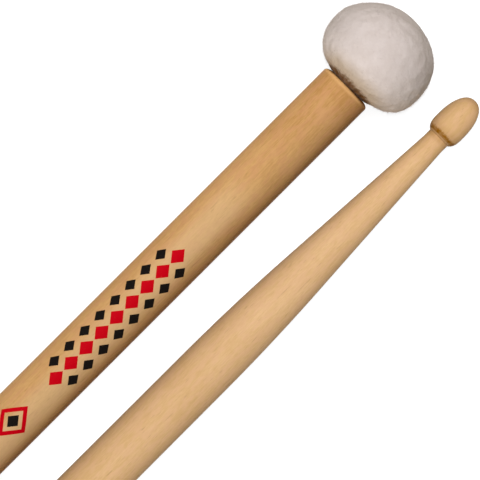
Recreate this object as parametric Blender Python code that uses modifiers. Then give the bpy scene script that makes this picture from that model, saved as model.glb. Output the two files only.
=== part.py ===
"""A pair of dual tone drumsticks, laid side by side with their felt heads at opposite ends.

Each stick is one turned length of hickory: a bead tip on a thin neck, a long taper with a soft
shoulder, a plain shaft and a butt with a rounded rim. The butt is drilled for a fluted dowel that
holds a felt mallet head: a turned core, a firm felt wrap and a thick soft felt cover, drawn in
under the head in pleats by a thread that is wound round the dowel.

A stick is modelled upright on its own axis, with the butt face at height 0, the head above it and
the tip at the bottom. It is then laid down, so that it rests on its shoulder and on its head.
"""

import math

import bmesh
import bpy
from mathutils import Matrix, Vector

MM = 0.001

# Shaft, measured from the butt face or from the tip end
STICK_LENGTH = 406.4 * MM
SHAFT_RADIUS = 7.175 * MM
SHOULDER_RADIUS = 7.03 * MM
SHOULDER_BACK = 97.4 * MM
SHOULDER_FRONT = 62.0 * MM
FOREGRIP_LENGTH = 80.0 * MM
RIM_WIDTH = 2.2 * MM
RIM_DEPTH = 1.15 * MM

# Neck and bead tip, measured from the tip end
NECK_RADIUS = 3.02 * MM
NECK_BACK = 15.4 * MM
BEAD_RADIUS = 4.45 * MM
BEAD_CROWN = 8.9 * MM
BEAD_BACK_LENGTH = 4.7 * MM
BEAD_FRONT_FULLNESS = 2.15
BEAD_BACK_FULLNESS = 3.1

# Dowel that joins the head to the butt
DOWEL_RADIUS = 3.175 * MM
DOWEL_IN_BUTT = 25.0 * MM
DOWEL_CHAMFER = 0.6 * MM
DOWEL_FLUTES = 12
FLUTE_DEPTH = 0.25 * MM
GLUE_GAP = 0.3 * MM
DRILL_POINT_SLOPE = math.radians(31.0)
HOLE_CHAMFER = 0.5 * MM

# Felt head, measured from the butt face
HEAD_RADIUS = 14.75 * MM
HEAD_HEIGHT = 23.5 * MM
HEAD_EQUATOR = 10.4 * MM
HEAD_FLOOR = -0.1 * MM
UNDERSIDE_FULLNESS = 2.65
UNDERSIDE_RADIUS = 10.6 * MM
COVER_THICKNESS = 3.0 * MM
WRAP_THICKNESS = 2.4 * MM
WRAP_OPENING = 7.0 * MM
CORE_ROOF = 2.1 * MM
SEAT_GAP = 0.3 * MM
PLEATS = 20
PLEAT_DEPTH = 0.6 * MM
PLEAT_REACH = 12.6 * MM
HEM_ROUND = 0.5 * MM

# Thread that draws the cover in
THREAD_DIAMETER = 0.6 * MM
THREAD_PITCH = 1.05 * MM
THREAD_END_ROOM = 0.15 * MM
THREAD_POINTS_PER_TURN = 24

# How the pair lies
FELT_PRESS = 0.5 * MM
SIDE_GAP = 6.08 * MM
STAGGER = 3.3 * MM

# Fineness of the faceted surfaces: steps round the axis, then steps along the outlines
STICK_STEPS = 32
CORE_STEPS = 24
PLEAT_STEPS = 2 * PLEATS
RIM_STEPS = 6
SHOULDER_STEPS = 8
BEAD_STEPS = (6, 9)
COVER_STEPS = (9, 7)
UNDERSIDE_STEPS = 3
COVER_INSIDE_STEPS = (5, 5)
WRAP_STEPS = (6, 5)
WRAP_INSIDE_STEPS = (5, 4)
CORE_OUTLINE_STEPS = (6, 6)

# Search for the angle at which a stick lies
STEEPEST_TILT = math.radians(20.0)
TILT_HALVINGS = 50

# Sizes that follow from those above
TAPER_LENGTH = SHOULDER_FRONT - NECK_BACK
SHOULDER_LENGTH = SHOULDER_BACK - SHOULDER_FRONT
TAPER_SLOPE = (SHOULDER_RADIUS - NECK_RADIUS) / (TAPER_LENGTH + SHOULDER_LENGTH / 2)
HOLE_RADIUS = DOWEL_RADIUS + GLUE_GAP
HOLE_POINT_DEPTH = HOLE_RADIUS * math.tan(DRILL_POINT_SLOPE)
THREAD_RADIUS = DOWEL_RADIUS + SEAT_GAP + THREAD_DIAMETER / 2
HEM_RADIUS = THREAD_RADIUS + THREAD_DIAMETER / 2 + SEAT_GAP
COVER_INNER_RADIUS = HEAD_RADIUS - COVER_THICKNESS
COVER_INNER_TOP = HEAD_HEIGHT - COVER_THICKNESS
COVER_INNER_FLOOR = SEAT_GAP + COVER_THICKNESS
WRAP_RADIUS = COVER_INNER_RADIUS - SEAT_GAP
WRAP_TOP = COVER_INNER_TOP - SEAT_GAP
WRAP_FLOOR = COVER_INNER_FLOOR + SEAT_GAP
CORE_RADIUS = WRAP_RADIUS - WRAP_THICKNESS - SEAT_GAP
CORE_TOP = WRAP_TOP - WRAP_THICKNESS - SEAT_GAP
CORE_HOLE_END = CORE_TOP - CORE_ROOF - HOLE_POINT_DEPTH
DOWEL_TOP = CORE_HOLE_END - GLUE_GAP


def clear_scene():
    for thing in list(bpy.data.objects):
        bpy.data.objects.remove(thing, do_unlink=True)


def make_material(name, colour, roughness, coat=0.0):
    material = bpy.data.materials.new(name)
    material.use_nodes = True
    material.diffuse_color = (*colour, 1.0)
    shader = material.node_tree.nodes["Principled BSDF"]
    shader.inputs["Base Color"].default_value = (*colour, 1.0)
    shader.inputs["Roughness"].default_value = roughness
    shader.inputs["Metallic"].default_value = 0.0
    shader.inputs["Coat Weight"].default_value = coat
    return material


def superellipse(width, height, fullness, first, last, steps):
    """Points (across, along) of a superellipse quarter, between two parameter angles."""
    power = 2.0 / fullness
    points = []
    for step in range(steps + 1):
        turn = first + (last - first) * step / steps
        across = width * max(math.cos(turn), 0.0) ** power
        along = height * max(math.sin(turn), 0.0) ** power
        points.append((across, along))
    return points


def angle_at(share, fullness):
    """Parameter angle at which a superellipse is this share of its full width."""
    return math.acos(share ** (fullness / 2.0))


def butt_hole():
    """Half outline of the blind hole in the butt, from its drill point to its chamfered mouth."""
    depth = DOWEL_IN_BUTT + GLUE_GAP
    return [
        (0.0, -depth - HOLE_POINT_DEPTH),
        (HOLE_RADIUS, -depth),
        (HOLE_RADIUS, -HOLE_CHAMFER),
        (HOLE_RADIUS + HOLE_CHAMFER, 0.0),
    ]


def shoulder_radius(distance):
    """Radius along the shoulder, which leaves the taper at its slope and ends level with the shaft."""
    run = distance - SHOULDER_FRONT
    start = NECK_RADIUS + TAPER_SLOPE * TAPER_LENGTH
    return start + TAPER_SLOPE * run * (1.0 - run / (2.0 * SHOULDER_LENGTH))


def bead_outline():
    """Half outline of the bead from the neck to the tip end, as (radius, distance from the tip end)."""
    neck_angle = angle_at(NECK_RADIUS / BEAD_RADIUS, BEAD_BACK_FULLNESS)
    back_steps, front_steps = BEAD_STEPS
    back = superellipse(BEAD_RADIUS, BEAD_BACK_LENGTH, BEAD_BACK_FULLNESS, neck_angle, 0.0, back_steps)
    front = superellipse(BEAD_RADIUS, BEAD_CROWN, BEAD_FRONT_FULLNESS, 0.0, math.pi / 2, front_steps)
    outline = [(radius, BEAD_CROWN + along) for radius, along in back]
    outline += [(radius, BEAD_CROWN - along) for radius, along in front[1:-1]]
    outline.append((0.0, 0.0))
    return outline


def stick_profile():
    """Half outline of the stick: dowel hole, butt face, rim, shaft, shoulder, taper, neck and bead."""
    face_radius = SHAFT_RADIUS - RIM_WIDTH
    points = butt_hole()
    for step in range(RIM_STEPS + 1):
        turn = math.pi / 2 * step / RIM_STEPS
        points.append((face_radius + RIM_WIDTH * math.sin(turn), -RIM_DEPTH * (1.0 - math.cos(turn))))
    points.append((SHAFT_RADIUS, SHOULDER_BACK + FOREGRIP_LENGTH - STICK_LENGTH))
    for step in range(SHOULDER_STEPS + 1):
        distance = SHOULDER_BACK - SHOULDER_LENGTH * step / SHOULDER_STEPS
        points.append((shoulder_radius(distance), distance - STICK_LENGTH))
    points.append((NECK_RADIUS, NECK_BACK - STICK_LENGTH))
    points += [(radius, distance - STICK_LENGTH) for radius, distance in bead_outline()]
    return points


def round_outline(radius, top, floor, end_radius, steps):
    """Half outline of a head form from its top pole over the equator to end_radius underneath."""
    upper_steps, lower_steps = steps
    upper = superellipse(radius, top - HEAD_EQUATOR, 2.0, math.pi / 2, 0.0, upper_steps)
    last = angle_at(end_radius / radius, UNDERSIDE_FULLNESS)
    lower = superellipse(radius, HEAD_EQUATOR - floor, UNDERSIDE_FULLNESS, 0.0, last, lower_steps)
    points = [(0.0, top)]
    points += [(across, HEAD_EQUATOR + along) for across, along in upper[1:]]
    points += [(across, HEAD_EQUATOR - along) for across, along in lower[1:]]
    return points


def cover_outer_outline():
    """Outside of the cover: the round head, then the shallow underside that runs in to the hem."""
    points = round_outline(HEAD_RADIUS, HEAD_HEIGHT, HEAD_FLOOR, UNDERSIDE_RADIUS, COVER_STEPS)
    edge_radius, edge_height = points[-1]
    hem_edge = HEM_RADIUS + HEM_ROUND
    for step in range(1, UNDERSIDE_STEPS + 1):
        share = 1.0 - step / UNDERSIDE_STEPS
        radius = hem_edge + (edge_radius - hem_edge) * share
        points.append((radius, SEAT_GAP + (edge_height - SEAT_GAP) * share**2))
    return points


def cover_profile():
    """Closed half outline of the cover: outside, hem and inside."""
    inside = round_outline(
        COVER_INNER_RADIUS, COVER_INNER_TOP, COVER_INNER_FLOOR, HEM_RADIUS, COVER_INSIDE_STEPS
    )
    return cover_outer_outline() + [(HEM_RADIUS, SEAT_GAP + HEM_ROUND)] + inside[::-1]


def wrap_profile():
    """Closed half outline of the firm felt wrap, which stays open underneath round the dowel."""
    inner_radius = CORE_RADIUS + SEAT_GAP
    inner_top = CORE_TOP + SEAT_GAP
    outside = round_outline(WRAP_RADIUS, WRAP_TOP, WRAP_FLOOR, WRAP_OPENING, WRAP_STEPS)
    inside = round_outline(inner_radius, inner_top, COVER_INNER_FLOOR, WRAP_OPENING, WRAP_INSIDE_STEPS)
    return outside + inside[::-1]


def core_profile():
    """Half outline of the turned core with its blind hole for the dowel."""
    outside = round_outline(CORE_RADIUS, CORE_TOP, WRAP_FLOOR, HOLE_RADIUS, CORE_OUTLINE_STEPS)
    return outside + [(HOLE_RADIUS, CORE_HOLE_END), (0.0, CORE_HOLE_END + HOLE_POINT_DEPTH)]


def dowel_profile():
    """Half outline of the dowel with chamfered ends."""
    narrow = DOWEL_RADIUS - DOWEL_CHAMFER
    return [
        (0.0, DOWEL_TOP),
        (narrow, DOWEL_TOP),
        (DOWEL_RADIUS, DOWEL_TOP - DOWEL_CHAMFER),
        (DOWEL_RADIUS, DOWEL_CHAMFER - DOWEL_IN_BUTT),
        (narrow, -DOWEL_IN_BUTT),
        (0.0, -DOWEL_IN_BUTT),
    ]


def lowest_reach(outline, tilt):
    """How far below its axis origin a laid form reaches, when its axis rises by tilt towards the head."""
    return min(height * math.sin(tilt) - radius * math.cos(tilt) for radius, height in outline)


def resting_pose():
    """Tilt and height at which a stick lies on its shoulder and on its head, whose nap is pressed flat."""
    stick = stick_profile()
    head = cover_outer_outline()
    low, high = 0.0, STEEPEST_TILT
    for _ in range(TILT_HALVINGS):
        tilt = (low + high) / 2
        if lowest_reach(head, tilt) + FELT_PRESS < lowest_reach(stick, tilt):
            low = tilt
        else:
            high = tilt
    return tilt, -lowest_reach(stick, tilt)


def screwed(name, profile, steps):
    """A turned piece: its half outline with a Screw modifier round the upright axis."""
    mesh = bpy.data.meshes.new(name)
    corners = [(radius, 0.0, height) for radius, height in profile]
    mesh.from_pydata(corners, [(i, i + 1) for i in range(len(corners) - 1)], [])
    thing = bpy.data.objects.new(name, mesh)
    screw = thing.modifiers.new("Turn", "SCREW")
    screw.axis = "Z"
    screw.steps = steps
    screw.render_steps = steps
    screw.use_merge_vertices = True
    screw.merge_threshold = 0.01 * MM
    screw.use_smooth_shade = True
    return thing


def spun(profile, steps):
    """The same as a bmesh, for a piece whose turned surface is worked further."""
    form = bmesh.new()
    corners = [form.verts.new((radius, 0.0, height)) for radius, height in profile]
    edges = [form.edges.new(pair) for pair in zip(corners, corners[1:])]
    bmesh.ops.spin(
        form,
        geom=corners + edges,
        axis=(0.0, 0.0, 1.0),
        cent=(0.0, 0.0, 0.0),
        angle=2.0 * math.pi,
        steps=steps,
        use_merge=True,
    )
    bmesh.ops.remove_doubles(form, verts=form.verts[:], dist=0.001 * MM)
    bmesh.ops.recalc_face_normals(form, faces=form.faces[:])
    return form


def meridian(corner, steps):
    """Number of the meridian that a corner lies on, counted round the axis."""
    turn = math.atan2(corner.co.y, corner.co.x) / (2.0 * math.pi)
    return round(turn * steps) % steps


def finished_object(name, form, sharp_angle):
    mesh = bpy.data.meshes.new(name)
    form.to_mesh(mesh)
    form.free()
    mesh.shade_smooth()
    mesh.set_sharp_from_angle(angle=math.radians(sharp_angle))
    return bpy.data.objects.new(name, mesh)


def make_dowel(name):
    """Fluted dowel: every other meridian of its side lies FLUTE_DEPTH deeper."""
    steps = 2 * DOWEL_FLUTES
    form = spun(dowel_profile(), steps)
    narrow = DOWEL_RADIUS - DOWEL_CHAMFER
    for corner in form.verts:
        radius = math.hypot(corner.co.x, corner.co.y)
        if radius > narrow + DOWEL_CHAMFER / 2 and meridian(corner, steps) % 2:
            share = (DOWEL_RADIUS - FLUTE_DEPTH) / radius
            corner.co.x *= share
            corner.co.y *= share
    return finished_object(name, form, 30.0)


def fold_pleats(form):
    """Raise every other meridian of the underside: full depth near the hem, none at PLEAT_REACH."""
    for corner in form.verts:
        radius = math.hypot(corner.co.x, corner.co.y)
        outside = HEM_RADIUS + HEM_ROUND / 2 < radius < PLEAT_REACH and corner.co.z < COVER_INNER_FLOOR
        if outside and meridian(corner, PLEAT_STEPS) % 2:
            share = (PLEAT_REACH - radius) / (PLEAT_REACH - HEM_RADIUS)
            corner.co.z += PLEAT_DEPTH * min(1.0, 2.0 * share)


def make_cover(name, laid):
    """Soft felt cover: folds in its underside, and its nap pressed flat where it lies on the surface."""
    form = spun(cover_profile(), PLEAT_STEPS)
    fold_pleats(form)
    to_axis = laid.inverted()
    surface = to_axis @ Vector((0.0, 0.0, 0.0))
    down = to_axis.to_3x3() @ Vector((0.0, 0.0, -1.0))
    cut = bmesh.ops.bisect_plane(
        form,
        geom=form.verts[:] + form.edges[:] + form.faces[:],
        dist=0.0001 * MM,
        plane_co=surface,
        plane_no=down,
        clear_outer=True,
    )
    rim = [edge for edge in cut["geom_cut"] if isinstance(edge, bmesh.types.BMEdge)]
    bmesh.ops.contextual_create(form, geom=rim)
    bmesh.ops.recalc_face_normals(form, faces=form.faces[:])
    return finished_object(name, form, 40.0)


def thread_points():
    """Points of the thread's winding, centred in the height of the hem."""
    winding = COVER_THICKNESS - 2.0 * THREAD_END_ROOM - THREAD_DIAMETER
    turns = winding / THREAD_PITCH
    start = SEAT_GAP + THREAD_END_ROOM + THREAD_DIAMETER / 2
    count = max(3, round(turns * THREAD_POINTS_PER_TURN))
    points = []
    for step in range(count + 1):
        turn = 2.0 * math.pi * turns * step / count
        height = start + winding * step / count
        points.append(Vector((THREAD_RADIUS * math.cos(turn), THREAD_RADIUS * math.sin(turn), height)))
    return points


def least_gap(points):
    """Least clear distance between turns of the thread, measured on its points."""
    apart = THREAD_POINTS_PER_TURN // 2
    gaps = [
        (second - first).length
        for index, first in enumerate(points)
        for second in points[index + apart :]
    ]
    return min(gaps) - THREAD_DIAMETER


def make_drawstring(name):
    points = thread_points()
    print(f"{name}: least gap to itself {least_gap(points) / MM:.2f} mm")
    curve = bpy.data.curves.new(name, "CURVE")
    curve.dimensions = "3D"
    curve.bevel_depth = THREAD_DIAMETER / 2
    curve.bevel_resolution = 1
    curve.use_fill_caps = True
    spline = curve.splines.new("POLY")
    spline.points.add(len(points) - 1)
    for target, point in zip(spline.points, points):
        target.co = (*point, 1.0)
    return bpy.data.objects.new(name, curve)


def make_drumstick(mark, side, hickory, materials, collection):
    """One stick with its head, laid down. Side is 1 or -1: the second is the first turned half round."""
    tilt, height = resting_pose()
    spacing = HEAD_RADIUS + BEAD_RADIUS + SIDE_GAP
    butt_reach = (STAGGER + (STICK_LENGTH - HEAD_HEIGHT) * math.cos(tilt)) / 2
    frame = bpy.data.objects.new(f"axis_{mark}", None)
    frame.location = (side * butt_reach, side * spacing / 2, height)
    frame.rotation_euler = (0.0, math.pi / 2 - tilt, 0.0 if side > 0 else math.pi)
    collection.objects.link(frame)
    laid = Matrix.Translation(frame.location) @ frame.rotation_euler.to_matrix().to_4x4()

    pieces = [
        (screwed(f"stick_{mark}", stick_profile(), STICK_STEPS), hickory),
        (make_dowel(f"head_dowel_{mark}"), "beech"),
        (screwed(f"head_core_{mark}", core_profile(), CORE_STEPS), "maple"),
        (screwed(f"felt_wrap_{mark}", wrap_profile(), CORE_STEPS), "firm_felt"),
        (make_cover(f"head_cover_{mark}", laid), "soft_felt"),
        (make_drawstring(f"drawstring_{mark}"), "waxed_thread"),
    ]
    for piece, finish in pieces:
        piece.data.materials.append(materials[finish])
        piece.parent = frame
        collection.objects.link(piece)


def main():
    clear_scene()
    collection = bpy.data.collections.new("dual_tone_drumsticks")
    bpy.context.scene.collection.children.link(collection)
    materials = {
        "hickory_warm": make_material("hickory_warm", (0.63, 0.35, 0.14), 0.35, 0.4),
        "hickory_pale": make_material("hickory_pale", (0.74, 0.46, 0.24), 0.35, 0.4),
        "beech": make_material("beech", (0.60, 0.42, 0.25), 0.6),
        "maple": make_material("maple", (0.70, 0.54, 0.36), 0.6),
        "firm_felt": make_material("firm_felt", (0.55, 0.50, 0.45), 0.95),
        "soft_felt": make_material("soft_felt", (0.70, 0.63, 0.57), 0.95),
        "waxed_thread": make_material("waxed_thread", (0.62, 0.54, 0.43), 0.7),
    }
    make_drumstick("a", 1, "hickory_warm", materials, collection)
    make_drumstick("b", -1, "hickory_pale", materials, collection)


main()
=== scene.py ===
"""Looks of a pair of dual tone drumsticks: satin hickory, and a soft felt mallet head on each butt.

Every turned piece is made upright in its stick's own frame, with the butt face at height 0, the head
above it, the tip below, and towards -x the side that will lie uppermost. It is then laid down where
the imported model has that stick.
"""

import math
import random

import bmesh
import bpy
from mathutils import Euler, Matrix, Vector, noise


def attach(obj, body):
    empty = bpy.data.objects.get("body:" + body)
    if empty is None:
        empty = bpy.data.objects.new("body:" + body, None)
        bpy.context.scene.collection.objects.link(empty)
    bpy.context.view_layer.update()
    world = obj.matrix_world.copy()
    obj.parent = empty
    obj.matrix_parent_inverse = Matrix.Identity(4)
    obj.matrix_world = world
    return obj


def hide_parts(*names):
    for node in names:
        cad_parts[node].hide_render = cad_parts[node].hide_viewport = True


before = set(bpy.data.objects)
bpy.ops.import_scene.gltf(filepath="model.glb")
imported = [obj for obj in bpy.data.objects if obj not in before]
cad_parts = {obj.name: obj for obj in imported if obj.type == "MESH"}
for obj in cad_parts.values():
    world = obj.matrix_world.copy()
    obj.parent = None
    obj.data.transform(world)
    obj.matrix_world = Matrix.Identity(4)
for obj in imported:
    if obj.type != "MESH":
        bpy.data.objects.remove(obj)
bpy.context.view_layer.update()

MM = 0.001
UP = Vector((0.0, 0.0, 1.0))

# How the sticks lie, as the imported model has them: butt centre of stick a, and the slope of its axis
BUTT_REACH = 193.053 * MM
BUTT_SIDE = 12.64 * MM
BUTT_HEIGHT = 14.016 * MM
STICK_SLOPE = math.radians(1.27)

# Stick, measured from the butt face or from the tip end
STICK_LENGTH = 406.4 * MM
SHAFT_RADIUS = 7.175 * MM
SHOULDER_RADIUS = 7.03 * MM
SHOULDER_BACK = 97.4 * MM
SHOULDER_FRONT = 62.0 * MM
FOREGRIP_LENGTH = 80.0 * MM
RIM_WIDTH = 2.2 * MM
RIM_DEPTH = 1.15 * MM
NECK_RADIUS = 3.02 * MM
NECK_BACK = 15.4 * MM
BEAD_RADIUS = 4.45 * MM
BEAD_CROWN = 8.9 * MM
BEAD_BACK_LENGTH = 4.7 * MM
BEAD_FRONT_FULLNESS = 2.25
BEAD_BACK_FULLNESS = 3.1
HOLE_RADIUS = 3.475 * MM
HOLE_DEPTH = 25.3 * MM
HOLE_POINT = 2.09 * MM
HOLE_CHAMFER = 0.5 * MM
SHOULDER_LENGTH = SHOULDER_BACK - SHOULDER_FRONT
TAPER_LENGTH = SHOULDER_FRONT - NECK_BACK
TAPER_SLOPE = (SHOULDER_RADIUS - NECK_RADIUS) / (TAPER_LENGTH + SHOULDER_LENGTH / 2)

# Felt head, measured from the butt face
HEAD_RADIUS = 14.75 * MM
HEAD_HEIGHT = 23.5 * MM
HEAD_EQUATOR = 10.4 * MM
HEAD_FLOOR = -0.1 * MM
UNDERSIDE_FULLNESS = 2.65
UNDERSIDE_RADIUS = 10.6 * MM
COVER_THICKNESS = 3.0 * MM
WRAP_THICKNESS = 2.4 * MM
WRAP_OPENING = 7.0 * MM
SEAT_GAP = 0.3 * MM
HEM_RADIUS = 4.375 * MM
HEM_ROUND = 0.5 * MM
HEM_EDGE = HEM_RADIUS + HEM_ROUND
THREAD_RADIUS = 3.775 * MM
THREAD_DIAMETER = 0.6 * MM
THREAD_PITCH = 1.05 * MM
THREAD_END_ROOM = 0.15 * MM

# How finely the forms are made: steps along each part of an outline, and round the axis
RIM_STEPS = 18
SHAFT_STEPS = 12
SHOULDER_STEPS = 24
BEAD_BACK_STEPS = 22
BEAD_FRONT_STEPS = 36
STICK_ROUND_STEPS = 128
COVER_STEPS = (60, 32)
COVER_FLOOR_STEPS = 18
COVER_LINING_STEPS = (14, 12)
COVER_ROUND_STEPS = 240
WRAP_STEPS = (30, 24)
WRAP_LINING_STEPS = (16, 12)
WRAP_ROUND_STEPS = 96
THREAD_TURN_STEPS = 60
MERGED_WITHIN = 0.001 * MM

# Photograph: its width in pixels, the real size of a pixel and the point that its centre looks at
PHOTO_WIDTH = 480
PIXEL = 0.2509 * MM
VIEW_CENTRE = Vector((146.7, 4.5, 12.0)) * MM
VIEW_ROLL = -math.pi / 4
CAMERA_LENS = 1000.0
SENSOR_WIDTH = 36.0
NEAREST_SHOWN = 0.1


class Wire:
    """One socket of a node tree. Arithmetic on wires adds the Math nodes that work it out."""

    def __init__(self, nodes, socket):
        self.nodes = nodes
        self.socket = socket

    def math(self, operation, *others):
        values = dict(enumerate((self, *others)))
        return self.nodes.node("ShaderNodeMath", {"operation": operation}, values)

    def __add__(self, other):
        return self.math("ADD", other)

    __radd__ = __add__

    def __mul__(self, other):
        return self.math("MULTIPLY", other)

    __rmul__ = __mul__

    def __sub__(self, other):
        return self.math("SUBTRACT", other)

    def __rsub__(self, other):
        return self.nodes.node("ShaderNodeMath", {"operation": "SUBTRACT"}, {0: other, 1: self})

    def __truediv__(self, other):
        return self.math("DIVIDE", other)

    def __neg__(self):
        return self * -1.0

    def __abs__(self):
        return self.math("ABSOLUTE")

    def rising(self, low, high):
        """0 below low, 1 above high and a smooth step between them; low may be the larger."""
        sockets = {"Value": self, "From Min": low, "From Max": high}
        return self.nodes.node("ShaderNodeMapRange", {"interpolation_type": "SMOOTHSTEP"}, sockets)


class Nodes:
    """The nodes of one material or of the world, which all come from one method."""

    def __init__(self, owner):
        owner.use_nodes = True
        self.tree = owner.node_tree

    def node(self, kind, settings=None, sockets=None, output=0):
        """Any node: its settings first, then the values or links of its sockets; returns an output of it."""
        made = self.tree.nodes.new(kind)
        for name, value in (settings or {}).items():
            setattr(made, name, value)
        self.feed(made, sockets or {})
        return Wire(self, made.outputs[output]) if made.outputs else None

    def feed(self, node, sockets):
        for name, value in sockets.items():
            if isinstance(value, Wire):
                self.tree.links.new(value.socket, node.inputs[name])
            else:
                node.inputs[name].default_value = value


class Finish(Nodes):
    """The material of a piece, in the making."""

    def __init__(self, name):
        self.material = bpy.data.materials.new(name)
        super().__init__(self.material)
        self.shader = self.tree.nodes["Principled BSDF"]

    def place(self, laid):
        """Position in millimetres in the frame of a laid stick, before it was laid."""
        return self.node(
            "ShaderNodeMapping",
            {"vector_type": "TEXTURE"},
            {
                "Vector": self.node("ShaderNodeTexCoord", output="Object"),
                "Location": laid.to_translation(),
                "Rotation": laid.to_euler(),
                "Scale": (MM, MM, MM),
            },
        )

    def split(self, vector):
        return [self.node("ShaderNodeSeparateXYZ", sockets={0: vector}, output=axis) for axis in range(3)]

    def pattern(self, place, kind, shift=0.0):
        """Noise from 0 to 1 of a kind: length of a spot along x, y and z, detail and own shift."""
        spot, detail, apart = kind
        moved = [shift + apart] * 3
        scaled = self.node(
            "ShaderNodeVectorMath",
            {"operation": "MULTIPLY_ADD"},
            {0: place, 1: [1.0 / length for length in spot], 2: moved},
        )
        return self.node("ShaderNodeTexNoise", sockets={"Vector": scaled, "Scale": 1.0, "Detail": detail})

    def blend(self, share, first, second):
        """Colour between two others."""
        first, second = [(*c, 1.0) if isinstance(c, tuple) else c for c in (first, second)]
        sockets = {0: share, 6: first, 7: second}
        return self.node("ShaderNodeMix", {"data_type": "RGBA"}, sockets, output=2)

    def bump(self, height, distance, strength):
        sockets = {"Height": height, "Distance": distance, "Strength": strength}
        return self.node("ShaderNodeBump", sockets=sockets)

    def done(self, **sockets):
        """The material, with the Principled shader's sockets set; a name's underscores stand for spaces."""
        self.feed(self.shader, {name.replace("_", " "): value for name, value in sockets.items()})
        return self.material


def distance(across, over):
    """How far off a point is that lies this far off both ways."""
    return (across.math("POWER", 2.0) + over.math("POWER", 2.0)).math("SQRT")


def laid_frame(side):
    """Where a stick lies; side is 1 for stick a and -1 for stick b, which is turned half round."""
    turn = Euler((0.0, math.pi / 2 - STICK_SLOPE, 0.0 if side > 0 else math.pi))
    place = Matrix.Translation((side * BUTT_REACH, side * BUTT_SIDE, BUTT_HEIGHT))
    return place @ turn.to_matrix().to_4x4()


# Materials: lengths are in millimetres, and heights along a stick are measured from its butt face

# Noise values between which a pattern goes from nothing to full
SOFT_RANGE = (0.3, 0.7)
FIRM_RANGE = (0.35, 0.65)
PORE_RANGE = (0.63, 0.76)
BLUSH_RANGE = (0.40, 0.62)
INK_RANGE = (0.24, 0.34)
BARE_FLECK_RANGE = (0.6, 0.72)


# Hickory

# Each stick's highlight tone is painted as a highlight along its middle
HICKORY_WARM = {
    "highlight_tone": (0.86, 0.61, 0.34),
    "pale": (0.71, 0.41, 0.165),
    "deep": (0.545, 0.28, 0.095),
    "rosy": (0.67, 0.335, 0.165),
    "gloss": 0.03,
}
HICKORY_PALE = {
    "highlight_tone": (0.92, 0.69, 0.45),
    "pale": (0.81, 0.53, 0.285),
    "deep": (0.70, 0.435, 0.20),
    "rosy": (0.78, 0.475, 0.28),
    "gloss": 0.05,
}
PORE_COLOUR = (0.30, 0.13, 0.04)
END_GRAIN_COLOUR = (0.36, 0.19, 0.06)
# Dark brown behind the bead, for painted shade and shadow there and thicker lacquering in the groove
LACQUER_AND_SHADE_COLOUR = (0.29, 0.11, 0.0)

# Growth rings: where their pith lies beside the stick, their width and how far they wander
PITH = (34.0, 27.0)
RING_WIDTH = 1.7
RING_WANDER = 5.0

# Patterns: length of a spot along x, y and z, detail, and a shift that keeps it apart from the others
RING_WANDERING = ((9.0, 9.0, 70.0), 2.0, 0.0)
FIBRES = ((0.35, 0.35, 9.0), 3.0, 0.0)
FLECKS = ((0.37, 0.37, 1.6), 2.0, 5.0)
PORES = ((0.30, 0.30, 3.2), 1.0, 7.0)
CLOUDS = ((6.0, 6.0, 13.0), 2.0, 3.0)
BLUSH = ((1.3, 1.3, 3.4), 2.0, 11.0)
DARK_BAND_MOTTLES = ((1.7, 1.7, 0.9), 2.0, 0.0)
INK_SPECKS = ((0.16, 0.16, 0.3), 1.0, 0.0)

# Stretches with a tone of their own: the heights between which each comes in, at one end or at both
BUTT_STRETCH = (-9.0, -4.0)
NECK_STRETCH = (-384.0, -391.0)
DARK_STRETCH = ((-335.0, -300.0), (-200.0, -240.0))
PALE_STRETCH = ((-240.0, -160.0), (-14.0, -30.0))

# Depth of the wood's tone, from pale at 0 to deep at 1: what each pattern and stretch adds or takes
LEAST_DEPTH = -0.06
RING_DEPTH = 0.10
FIBRE_DEPTH = 0.36
FLECK_DEPTH = 0.34
CLOUD_DEPTH = 0.32
BUTT_DEPTH = 0.3
NECK_DEPTH = 0.6
DARK_STRETCH_DEPTH = 0.3
PALE_STRETCH_DEPTH = -0.25

# Painted highlight: a paler streak along the middle line of the upper and lower sides, where a soft sheen
# falls; the height at which it crosses the middle line, its slant and where it fades out
HIGHLIGHT_CROSSING = -50.0
HIGHLIGHT_SLANT = 0.033
HIGHLIGHT_SIDES = (5.4, 1.6)
HIGHLIGHT_STRETCH = ((-240.0, -160.0), (-31.0, -45.0))
HIGHLIGHT_SHARE = 0.38

# Other changes of tone; fibres fray the edges of some by up to half of FRAY both ways
BLUSH_SHARE = 0.45
PORE_SHARE = 0.3
PORES_IN_RINGS = 0.7
END_GRAIN_FACING = (0.35, 1.0)
END_GRAIN_SHARE = 0.4
FRAY = 0.9
# Painted highlight on the butt's rounded rim, where the head shades it: the heights between which it comes
# in, and its share
RIM_HIGHLIGHT = (-1.6, -0.7)
RIM_HIGHLIGHT_SHARE = 0.9

# Dark band behind the bead: a painted shadow of the bead on the neck, painted shade in the groove, where the
# lacquered finish also gathers, and on the bead's back; the heights between which each comes in, and their
# shares
NECK_PAINTED_SHADOW = ((-393.8, -393.3), (-391.4, -393.1))
NECK_PAINTED_SHADOW_SHARE = 0.28
GROOVE_BACK = (-393.6, -394.0)
GROOVE_FRONT = (-395.25, -394.5)
GROOVE_SHARE = 0.68
BEAD_PAINTED_SHADE = (-397.4, -395.2)
BEAD_PAINTED_SHADE_SHARE = 0.16
DARK_BAND_MOTTLED = 0.36

# Surface of the satin lacquering, and how much higher a fibre stands than a pore
SATIN_ROUGHNESS = 0.46
FIBRE_ROUGHNESS = 0.10
FIBRE_RELIEF = 0.5

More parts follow.
